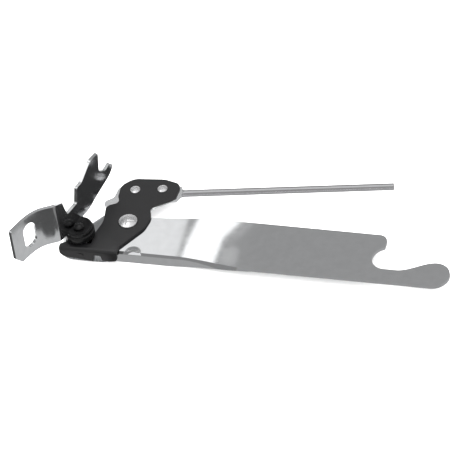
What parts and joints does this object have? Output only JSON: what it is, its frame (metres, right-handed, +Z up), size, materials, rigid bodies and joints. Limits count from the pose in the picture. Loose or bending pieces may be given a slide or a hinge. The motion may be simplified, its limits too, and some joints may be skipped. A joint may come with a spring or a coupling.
{
  "type": "can opener",
  "caption": "Hand-cranked can opener with a flat hooked lower handle, a hinged black head plate with blade and rod handle, and a winged turn key.",
  "frame": {"origin": "middle of the opener's footprint, on the flat surface that it lies on", "axes": "+X along the lower handle towards the bottle hook, +Z up along the feed shaft towards the turn key, +Y towards the rod handle"},
  "size_m": [0.1914, 0.079, 0.0353],
  "materials": {
    "bright_steel": "bright nickel-plated sheet steel",
    "key_plating": "bright nickel-plated sheet steel",
    "plate_black": "satin black stove enamel",
    "hub_black": "gloss black oxide",
    "rod_steel": "drawn and plated wire",
    "rivet_steel": "zinc-plated, formed heads",
    "blade_steel": "hardened and ground",
    "wheel_steel": "hardened, zinc-plated",
    "bush_brass": "turned"
  },
  "bodies": {
    "lower_handle": {"lower_handle": "bright_steel", "shaft_bush": "bush_brass"},
    "head": {"head_plate": "plate_black", "backing_plate": "bright_steel", "upper_handle": "rod_steel", "handle_rivets": "rivet_steel", "pivot_rivet": "rivet_steel", "pivot_washer": "rivet_steel", "cutting_blade": "blade_steel", "blade_rivet": "plate_black"},
    "feed_drive": {"feed_shaft": "wheel_steel", "hub_washer": "rivet_steel", "key_hub": "hub_black", "turn_key": "key_plating", "feed_wheel": "wheel_steel", "wheel_washer": "rivet_steel"}
  },
  "joints": [
    {"name": "handle_hinge", "type": "hinge", "parent": "lower_handle", "child": "head", "pos_m": [-0.055, -0.0014, 0.0068], "axis": [0, 0, 1], "range_deg": [0, 20]},
    {"name": "key_turn", "type": "hinge", "parent": "lower_handle", "child": "feed_drive", "pos_m": [-0.074, -0.0124, 0.0068], "axis": [0, 0, 1], "continuous": true}
  ]
}
